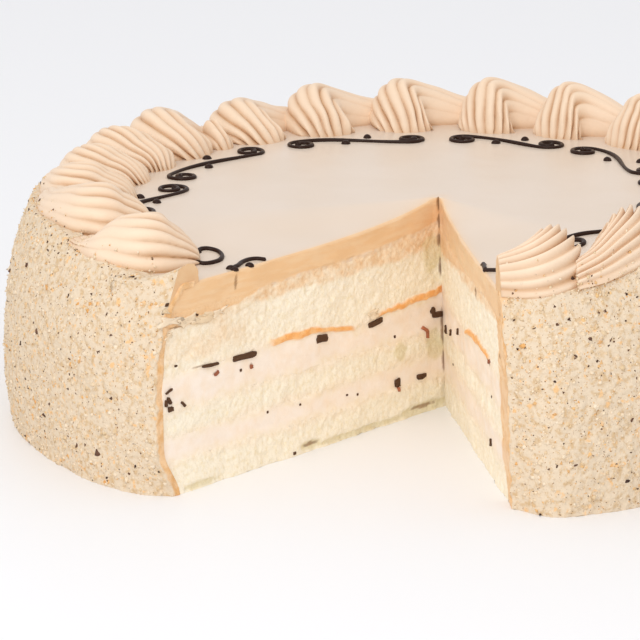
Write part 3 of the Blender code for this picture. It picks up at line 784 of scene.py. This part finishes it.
def shellGrid(number, bearing, wide, tall, ridges, tailEnd, long, moved):
    draw = np.random.default_rng(100 + number)
    sharp, deep, fading = shellForm["grooves"][number in shellForm["crisp"]]
    half = shellForm["halfWidth"] * wide
    share = np.linspace(0.0, 1.0, shellForm["along"])[:, None] ** 1.15
    angle = np.linspace(0.0, math.pi, shellForm["across"])[None, :]
    bow = np.sin(angle)
    columns = [throughKeys(values, share) for values in zip(*shellForm["stations"])]
    foot, far = ((moved[0] + out * long * moved[1], side * half + tail * tailEnd)
                 for out, side, tail in (columns[:3], columns[3:6]))
    width = np.hypot(far[0] - foot[0], far[1] - foot[1])
    height = shellForm["height"] * tall * np.maximum(columns[6], 0.0)
    if number == 0:
        left, fall = shellForm["cutEnd"]
        height = height * (left + (1.0 - left) * smooth((1.0 - share) / fall))
    height = height * (1.0 - shellForm["tailDrops"].get(number, 0.0) * ramp(share, 0.70, 0.98))
    drift = 0.30 * np.sin(2.6 * share + draw.uniform(0, 6)) + draw.uniform(-0.2, 0.2)
    phase = ridges * angle / math.pi + 0.10 * np.sin(angle * 3 + draw.uniform(0, 6)) + drift * bow
    phase = phase + ridges / math.pi * shellForm["twists"].get(number, 0.0) * np.exp(-share / 0.14) * bow
    groove = 1.0 - np.abs(np.sin(math.pi * phase)) ** sharp
    fade = 1.0 - fading * ramp(share, 0.44, 0.74)
    strength = 0.85 + 0.25 * np.sin(phase * 2.1 + draw.uniform(0, 6))
    depth = shellForm["ridgeDepth"] * (0.5 + 0.5 * min(long, 1.0)) * fade * groove * strength
    depth = depth * (0.45 + 0.55 * smooth(share / 0.1)) * deep
    radius = np.maximum(np.minimum(width / 2, height), 0.001)
    reach = 1.0 - np.minimum(depth / radius, 0.5)
    across = (1.0 - np.cos(angle) * reach) / 2
    bulge = (1 - groove) * np.sin(np.pi * np.clip(share / 0.26, 0, 1))
    toe = shellForm["toe"] * (bulge - 0.35 * groove * np.exp(-share / 0.12) * bow ** 0.5)
    most, least = shellForm["swell"]
    swell = (most * bow - least) * np.clip(1 - share / 0.3, 0, 1) ** 2
    out = foot[0] + (far[0] - foot[0]) * across - (toe + swell) * min(long, 1.0)
    places = shellPoint(bearing, out, foot[1] + (far[1] - foot[1]) * across)
    places[..., 2] = cake["topHeight"] + shellForm["lift"] + height * bow * reach
    if number == 0:
        distance, turn = fromPoint(places)
        rise = np.maximum(places[..., 2] - cake["topHeight"], 0.0)
        wall, inset, lean = shellForm["cutSide"]
        limit = wallDistance(turn, np.full_like(turn, wall), inset + lean * rise ** 2)
        kept = np.minimum(limit / distance, 1.0)[..., None]
        places[..., :2] = point[:2] + (places[..., :2] - point[:2]) * kept
    drop = np.interp(fromAxis(places), *zip(*shellForm["shoulder"]))
    places[..., 2] += (drop - (shellForm["cutSunk"] if number == 0 else 0.0)) * (1.0 - bow)
    places += shellForm["wobble"] * noise(places, 0.006, 100 + number)[..., None] * np.array([1.0, 1.0, 0.6])
    # mask of painted shade: high in the grooves and where the shell lies low, near the top it stands on
    low = np.clip(1.0 - (places[..., 2] - cake["topHeight"]) / 0.0025, 0, 1)
    return places, np.clip(np.clip(groove * strength * fade, 0, 1) + 0.35 * low, 0, 1)


def shellMesh(name, grid, grooveShade):
    rows, columns = grid.shape[:2]
    points = grid.reshape(-1, 3)
    index = np.arange(rows * columns).reshape(rows, columns)
    points = np.concatenate([points, points[index[-1]].mean(0)[None]])
    faces = [quadsOf(index), quadsOf(index[:, [-1, 0]]), fanFaces(index[-1], rows * columns)]
    return makeMesh(name, points, faces, {"grooveShade": np.append(grooveShade.ravel(), 0.0)})


def sliceMesh(mesh, left):
    # cuts a mesh at one cut plane, before settling, and closes it with flat faces
    form = bmesh.new()
    form.from_mesh(mesh)
    parts = form.verts[:] + form.edges[:] + form.faces[:]
    bmesh.ops.bisect_plane(form, geom=parts, plane_co=Vector(point), plane_no=Vector(cutNormal(left)),
                           clear_outer=True)
    made = bmesh.ops.holes_fill(form, edges=[e for e in form.edges if e.is_boundary], sides=0)
    for face in made["faces"]:
        face.material_index = 1
        face.smooth = False
    bmesh.ops.triangulate(form, faces=made["faces"])
    form.to_mesh(mesh)
    form.free()


def settleMesh(mesh):
    co = np.zeros(len(mesh.vertices) * 3, np.float32)
    mesh.vertices.foreach_get("co", co)
    mesh.vertices.foreach_set("co", settle(co.reshape(-1, 3).astype(float)).astype(np.float32).ravel())
    mesh.update()


shellSides = []    # places low on the shells' outer sides, where crumbs cling


def addShell(nodeName, number, shell, tailEnd, long=1.0, cut=None, moved=(0.0, 1.0)):
    # cut is True for the shell at the left cut and False for the one at the right cut
    grid, grooveShade = shellGrid(number, *shell, tailEnd, long, moved)
    draw = np.random.default_rng(1100 + number)
    clinging = shellForm["clinging"]
    tries, high = clinging["tries"], clinging["high"][number in shellForm["crisp"]]
    picked = grid[draw.integers(8, len(grid), tries), draw.integers(90, grid.shape[1], tries)]
    rise = picked[:, 2] - cake["topHeight"]
    kept = (fromAxis(picked) > clinging["from"]) & (rise < np.minimum(draw.exponential(high, tries), 3 * high))
    shellSides.append(picked[kept | (cut is True)])
    mesh = shellMesh(nodeName + "_piped", grid, grooveShade)
    skin = coat if cut is True else buttercream
    addPiece(nodeName + "_piped", mesh, [skin, knifeCut], (nodeName,))
    if cut is not None:
        sliceMesh(mesh, cut)
    settleMesh(mesh)


following = shellForm["shells"][1:] + [(shellForm["ringEnd"], 1.0)]
for number, (shell, after) in enumerate(zip(shellForm["shells"], following)):
    pitch = math.radians(after[0] - shell[0]) * shellForm["middle"]
    tailEnd = pitch - shellForm["halfWidth"] * after[1] * shellForm["overlap"]
    tailEnd *= shellForm["tailShares"].get(number, 1.0)
    moved = (0.0, shellForm["slimShare"] if number in shellForm["slim"] else 1.0)
    if number == 0:
        tailEnd, moved = shellForm["cutTail"], shellForm["cutMoved"]
    cut = {0: True, 20: False}.get(number)
    addShell(f"shell_{number + 1:02d}", number, shell, tailEnd, cut=cut, moved=moved)
small = shellForm["join"]
addShell("shell_join", -1, small, shellForm["halfWidth"] * small[1], small[1])
print("shells made")

# Drizzled scrolls and dots, on their own ring; beside the cuts only pieces of them are left.
scrollForm = {
    "ring": (-0.0005, -0.0028, 0.0786),
    "line": 0.00068,
    "spiral": 0.0050,
    "core": 0.0016,
    "turns": 1.2,
    "dot": 0.0015,
    "dots": [(-0.2, -0.0024), (0.27, 0.0050)],
    # bearings of both spirals, then how far each lies out from the ring
    "scrolls": [(-106.0, -84.4, 0.005, -0.005), (-70.5, -40.0, -0.004, 0.001), (-25.5, 1.0, 0.000, 0.001),
                (14.0, 34.0, 0.002, 0.006), (44.5, 68.0, 0.005, 0.004), (80.0, 104.0, 0.0, 0.0),
                (116.0, 141.0, 0.0, 0.0)],
    # what is left beside the cuts, in millimetres
    "pieces": [
        [(-61.8, -59.4), (-60.6, -57.5), (-58.4, -56.9), (-55.8, -58.2), (-54.5, -61.4), (-55.1, -65.4),
         (-57.4, -68.3), (-59.6, -69.4), (-61.3, -68.6)],
        [(-61.6, -68.8), (-61.9, -66.0), (-61.6, -63.4)],
        [(-41.8, -63.2), (-44.2, -62.4), (-46.6, -63.6), (-48.6, -66.6), (-50.0, -70.6), (-51.6, -73.2)],
        [(22.6, -69.8), (22.8, -72.8), (23.0, -75.9)],
        [(22.6, -76.6), (25.6, -77.0), (28.6, -77.6)],
    ],
    "pieceDots": [(-61.8, -59.6, 1.2), (-61.4, -68.4, 1.3), (-51.9, -72.9, 1.4), (-50.9, -74.3, 1.2),
                  (-46.4, -69.2, 1.3), (22.6, -69.6, 1.0)],
}


def scrollPath(half):
    # half is half of the distance between both spirals
    share = np.linspace(0, 1, 40)
    angle = np.radians(90.0 + 360.0 * scrollForm["turns"] * (1.0 - share))
    radius = scrollForm["core"] + (scrollForm["spiral"] - scrollForm["core"]) * share
    first = np.stack([-half + radius * np.cos(angle), radius * np.sin(angle)], -1)
    line = share[1:-1]
    middle = np.stack([-half + 2 * half * line, scrollForm["spiral"] * np.cos(np.pi * line)], -1)
    return np.concatenate([first, middle, -first[::-1]])


def tube(path, radii, segments=12):
    # a round rope along a path that lies nearly flat
    ahead = np.gradient(path, axis=0)
    ahead /= np.linalg.norm(ahead, axis=1)[:, None]
    side = np.cross(ahead, [0.0, 0.0, 1.0])
    side /= np.linalg.norm(side, axis=1)[:, None]
    up = np.cross(side, ahead)
    turn = np.linspace(0, 2 * math.pi, segments, endpoint=False)[:, None]
    points = path[:, None] + (side[:, None] * np.cos(turn) + up[:, None] * np.sin(turn)) * radii[:, None, None]
    ends = np.stack([path[0] - ahead[0] * radii[0] * 0.6, path[-1] + ahead[-1] * radii[-1] * 0.6])
    total = len(path) * segments
    index = np.arange(total).reshape(-1, segments)
    faces = [gridFaces(len(path), segments, True), fanFaces(index[0], total, True), fanFaces(index[-1], total + 1)]
    return np.concatenate([points.reshape(-1, 3), ends]), faces


def dome(centre, radius, seed, segments=16, rings=7):
    draw = np.random.default_rng(seed)
    tilt = np.linspace(0.0, math.pi / 2, rings)[:, None]
    turn = np.linspace(0, 2 * math.pi, segments, endpoint=False)[None, :]
    wide = radius * (1 + 0.08 * np.sin(turn * 2 + draw.uniform(0, 6)))
    x = centre[0] + wide * np.cos(tilt) * np.cos(turn)
    y = centre[1] + wide * np.cos(tilt) * np.sin(turn)
    z = centre[2] - 0.0002 + radius * 0.95 * np.sin(tilt) + 0 * turn
    return np.stack([x, y, z], -1).reshape(-1, 3), [gridFaces(rings, segments, True)]


def buildScrolls():
    parts = []
    ring = scrollForm["ring"]
    lying = cake["topHeight"] + scrollForm["line"] * 0.5
    for number, (start, end, startOut, endOut) in enumerate(scrollForm["scrolls"]):
        draw = np.random.default_rng(300 + number)
        middle, half = (start + end) / 2, math.radians(end - start) / 2 * ring[2]
        path = scrollPath(half)
        share = np.linspace(0, 1, len(path))
        lean = startOut + (endOut - startOut) * smooth(path[:, 0] / half / 2 + 0.5)
        places = ringPoint(ring, middle + np.degrees(path[:, 0] / ring[2]), path[:, 1] + lean)
        radii = scrollForm["line"] * (1 + 0.15 * np.sin(share * 23 + draw.uniform(0, 6)))
        radii *= 1 + 0.8 * np.exp(-share / 0.03) + 0.6 * np.exp(-(1 - share) / 0.03)
        places[:, 2] = lying
        parts.append(tube(places, radii))
        for k, (part, out) in enumerate(scrollForm["dots"]):
            out = out + startOut + (endOut - startOut) * (0.5 + part / 2)
            place = ringPoint(ring, middle + math.degrees(part * half / ring[2]), out)
            place[2] = cake["topHeight"]
            parts.append(dome(place, scrollForm["dot"], 10 * number + k))
    for path in scrollForm["pieces"]:
        x, y = np.transpose(path) / 1000
        share = np.linspace(0, 1, 10 * len(path))
        places = np.stack([throughKeys(x, share), throughKeys(y, share), 0 * share + lying], -1)
        parts.append(tube(places, np.full(len(share), scrollForm["line"])))
    for number, (x, y, radius) in enumerate(scrollForm["pieceDots"]):
        parts.append(dome((x / 1000, y / 1000, cake["topHeight"]), radius / 1000, 900 + number))
    mesh = makeMesh("chocolate_scrolls", *joinParts(parts))
    addPiece("chocolate_scrolls", mesh, drizzle)
    settleMesh(mesh)


buildScrolls()
print("scrolls made")

# Chopped chocolate and pale flecks of cream at the cut faces. By side, in millimetres and degrees: distance,
# height, length, thickness, tilt.
chipForm = {
    "chocolate_chips": {"material": chopped, "depth": 0.0013, "rough": 0.22, "left": [
        (90.0, 35.5, 10.0, 1.9, 2), (104.6, 36.0, 7.2, 1.0, 4), (56.2, 33.9, 5.2, 2.4, 3),
        (31.6, 33.7, 6.2, 1.8, -8), (2.6, 30.3, 5.0, 1.9, 6), (4.5, 31.8, 2.0, 2.2, 40),
        (11.1, 12.1, 4.8, 1.7, 3), (22.4, 12.4, 2.4, 2.6, 0), (122.2, 31.8, 3.2, 0.7, -20),
        (122.2, 29.0, 1.2, 2.4, -30), (121.9, 26.4, 2.0, 1.6, 0), (123.6, 28.5, 1.0, 2.0, 10),
        (116.6, 26.8, 2.0, 0.8, 50)], "right": [
        (8.0, 27.0, 2.6, 1.2, 70), (17.5, 28.7, 2.2, 0.8, 60), (28.2, 31.8, 2.2, 0.7, 70),
        (77.6, 11.2, 3.0, 0.6, 60)]},
    "cocoa_curls": {"material": crumbMaterial("cocoa curls", "B06A48", "8A4A30", 0.6), "depth": 0.0010,
                    "rough": 0.3, "left": [
        (8.6, 26.8, 3.4, 1.2, 35), (7.6, 24.8, 1.2, 2.2, 0), (102.4, 33.0, 2.2, 1.0, -25),
        (22.2, 10.4, 1.0, 1.4, 0), (87.3, 31.8, 1.0, 1.2, 0)], "right": [(75.5, 35.4, 2.0, 1.0, 30)]},
    "tiny_specks": {"material": chopped, "depth": 0.0004, "rough": 0.1, "left": [
        (22.7, 27.3, 0.9, 0.9, 0), (81.3, 16.4, 0.8, 0.8, 0), (45.7, 13.7, 0.9, 0.6, 0),
        (40.8, 12.8, 0.8, 0.8, 0), (66.7, 15.4, 0.8, 0.7, 0), (70.4, 1.0, 1.4, 1.0, 0),
        (91.8, 31.6, 0.9, 0.8, 0), (118.2, 38.6, 1.2, 0.7, 0), (121.5, 62.9, 1.4, 1.2, 0),
        (109.0, 56.3, 1.8, 0.8, 30)], "right": [(16.3, 18.1, 0.7, 0.7, 0), (77.3, 25.1, 0.8, 0.8, 0)]},
    "cream_flecks": {"material": crumbMaterial("pale cream flecks", "EFDABD", "E3C8A2", 0.7), "depth": 0.0013,
                     "rough": 0.9, "left": [
        (119.0, 56.6, 7.6, 3.2, 8), (112.2, 54.8, 6.2, 3.4, -10), (105.2, 54.5, 7.8, 3.0, 3),
        (99.2, 54.7, 4.0, 2.0, -6), (121.2, 51.2, 2.8, 1.8, 0), (121.0, 60.6, 2.2, 1.2, 20),
        (33.0, 36.8, 4.4, 2.2, -10)], "right": []},
}


def lumpShape(segments=20, rings=12):
    turn = np.linspace(0, 2 * math.pi, segments, endpoint=False)[None, :]
    tilt = np.linspace(-math.pi / 2, math.pi / 2, rings)[:, None]
    sphere = np.stack([np.cos(tilt) * np.cos(turn), np.sin(tilt) + 0 * turn, np.cos(tilt) * np.sin(turn)], -1)
    boxy = np.sign(sphere) * np.abs(sphere) ** 0.4
    return boxy.reshape(-1, 3), [gridFaces(rings, segments, True)]


def buildChips(name, kind):
    shape, faces = lumpShape()
    parts, tints = [], []
    pieces = [(side == "left", *piece) for side in ("left", "right") for piece in kind[side]]
    for number, (left, distance, z, length, thick, tilt) in enumerate(pieces):
        local = shape * 0.5 * np.array([length / 1000, kind["depth"], thick / 1000])
        ragged = fractal(local + number, length / 1000 * 0.22, 3, 80 + number)
        local = local * (1 + kind["rough"] * ragged)[:, None]
        turn = math.radians(tilt)
        along = local[:, 0] * math.cos(turn) - local[:, 2] * math.sin(turn)
        up = local[:, 0] * math.sin(turn) + local[:, 2] * math.cos(turn)
        middle = onFace(left, np.array([distance / 1000]), z / 1000)[1][0]
        places = middle + bearingVector(cutBearing(left)) * along[:, None] + cutNormal(left) * local[:, 1:2]
        places[:, 2] += up
        parts.append((places, faces))
        tints.append(np.full(len(places), (number * 0.37) % 1.0))
    points, faces = joinParts(parts)
    addPiece(name, makeMesh(name, settle(points), faces, {"tint": np.concatenate(tints)}), kind["material"])


for name, kind in chipForm.items():
    buildChips(name, kind)
print("chips made")

# Crumbs of chopped nuts and chocolate: count, smallest and largest size, two tints, roughness, share that
# clings to the shells.
crumbKinds = {
    "nut_crumbs": (22000, 0.0003, 0.0011, "F0DEC4", "DFC298", 0.9, 0.14),
    "brown_specks": (8500, 0.00012, 0.0003, "94623A", "5A3822", 0.8, 0.14),
    "dark_specks": (2700, 0.00022, 0.0006, "6E4428", "3C2417", 0.8, 0.14),
    "golden_bits": (900, 0.0003, 0.0010, "E3A45A", "EDC68C", 0.6, 0.02),
    "tan_bits": (2600, 0.0003, 0.0009, "D8A468", "E9C08A", 0.8, 0.14),
    "chocolate_bits": (300, 0.0005, 0.0013, "3A2114", "6A4630", 0.6, 0.14),
}
crumbForm = {"radii": (0.6, 1.25), "shift": 0.15, "stretch": (0.6, 1.3), "sunk": 0.35, "clingingSize": 0.65,
             "lengths": (0.0003, 0.0700), "margin": 0.2, "shellMargin": 0.5, "floor": 0.0001}
octahedron = (np.array([[1, 0, 0], [-1, 0, 0], [0, 1, 0], [0, -1, 0], [0, 0, 1], [0, 0, -1]], float),
              np.array([[0, 2, 4], [2, 1, 4], [1, 3, 4], [3, 0, 4], [2, 0, 5], [1, 2, 5], [3, 1, 5], [0, 3, 5]]))


def scatter(name, places, sizes, seed, material):
    draw = np.random.default_rng(seed)
    shape, triangles = octahedron
    count, corner = len(places), len(shape)
    shift = crumbForm["shift"]
    corners = shape[None] * draw.uniform(*crumbForm["radii"], (count, corner, 1))
    corners = corners + draw.uniform(-shift, shift, (count, corner, 3))
    corners = corners * draw.uniform(*crumbForm["stretch"], (count, 1, 3)) * sizes[:, None, None]
    axes = draw.normal(size=(count, 4))
    axes /= np.linalg.norm(axes, axis=1)[:, None]
    w, x, y, z = axes.T
    turn = np.stack([1 - 2 * (y * y + z * z), 2 * (x * y - z * w), 2 * (x * z + y * w),
                     2 * (x * y + z * w), 1 - 2 * (x * x + z * z), 2 * (y * z - x * w),
                     2 * (x * z - y * w), 2 * (y * z + x * w), 1 - 2 * (x * x + y * y)], -1).reshape(-1, 3, 3)
    corners = np.einsum("nij,nkj->nki", turn, corners) + places[:, None]
    faces = (triangles[None] + (np.arange(count) * corner)[:, None, None]).reshape(-1, 3)
    tint = np.repeat(draw.uniform(0, 1, count), corner)
    corners[..., 2] = np.maximum(corners[..., 2], crumbForm["floor"])
    addPiece(name, makeMesh(name, corners.reshape(-1, 3), [faces], {"tint": tint}, flat=True), material)


def crumbPlaces(count, draw, sunk):
    margin = crumbForm["margin"]
    bearing = draw.uniform(cake["leftCut"] - 360.0 + margin, cake["rightCut"] - margin, count)
    return coatPlace(bearing, draw.uniform(*crumbForm["lengths"], count), raised=-sunk)


def shellPlaces(count, draw):
    # places on the shells, but none over the missing slice
    places = np.concatenate(shellSides)
    away = turnBetween(fromPoint(places)[1], (cake["leftCut"] + cake["rightCut"]) / 2)
    kept = away > (cake["leftCut"] - cake["rightCut"]) / 2 + crumbForm["shellMargin"]
    return draw.permutation(places[kept])[:count]


for number, (name, kind) in enumerate(crumbKinds.items()):
    count, least, most, *looks, clings = kind
    draw = np.random.default_rng(500 + number)
    sizes = draw.uniform(0, 1, count) ** 2 * (most - least) + least
    places = crumbPlaces(count, draw, crumbForm["sunk"] * sizes)
    clinging = shellPlaces(int(count * clings), draw)
    places[:len(clinging)] = clinging
    sizes[:len(clinging)] *= crumbForm["clingingSize"]
    scatter(name, settle(places), sizes, 600 + number, crumbMaterial(name.replace("_", " "), *looks))
print("crumbs made")

# Floor, light and camera.
stageLooks = {
    "floor": "F5F5F6", "floorReach": 6.0, "floorDrop": 0.00002, "room": "FBFBFD", "world": 0.89,
    # lamps one metre across: place, power
    "lamps": {"window key": ((-0.5, -1.1, 1.3), 7.4), "soft fill": ((-0.25, -1.45, 0.5), 3.7)},
    "lampAim": (0.0, 0.0, 0.04),
    "camera": {"lens": 203.1, "place": (0.0, -1.0965, 0.3233), "aim": (-0.02974, 0.00724, 0.02456),
               "roll": -0.00919},
}


def addLight(name, place, power):
    lamp = bpy.data.lights.new(name, "AREA")
    lamp.shape = "DISK"
    lamp.size = 1.0
    lamp.energy = power
    light = bpy.data.objects.new(name, lamp)
    scene.collection.objects.link(light)
    light.location = place
    light.rotation_euler = (Vector(stageLooks["lampAim"]) - Vector(place)).to_track_quat("-Z", "Y").to_euler()


def buildStage():
    reach, z = stageLooks["floorReach"], -stageLooks["floorDrop"]
    points = np.array([[-reach, -reach, z], [reach, -reach, z], [reach, reach, z], [-reach, reach, z]])
    floor = bpy.data.objects.new("floor", makeMesh("floor", points, [np.array([[0, 1, 2, 3]])]))
    scene.collection.objects.link(floor)
    # pale, with a faint soft reflection
    material, shader = newMaterial("white studio floor", {
        "Base Color": colour(stageLooks["floor"]), "Roughness": 0.5, "IOR": 1.45})
    floor.data.materials.append(material)
    world = bpy.data.worlds.new("pale room")
    world.use_nodes = True
    background = world.node_tree.nodes["Background"]
    background.inputs["Color"].default_value = colour(stageLooks["room"])
    background.inputs["Strength"].default_value = stageLooks["world"]
    scene.world = world
    for name, (place, power) in stageLooks["lamps"].items():
        addLight(name, place, power)


def buildCamera():
    looks = stageLooks["camera"]
    lens = bpy.data.cameras.new("camera")
    lens.lens = looks["lens"]
    lens.sensor_width = 36.0
    camera = bpy.data.objects.new("camera", lens)
    scene.collection.objects.link(camera)
    camera.location = looks["place"]
    aim = Vector(looks["aim"]) - camera.location
    camera.rotation_mode = "QUATERNION"
    camera.rotation_quaternion = aim.to_track_quat("-Z", "Y") @ Quaternion((0, 0, 1), looks["roll"])
    scene.camera = camera


buildStage()
buildCamera()
scene.view_settings.view_transform = "Standard"
print("stage made")
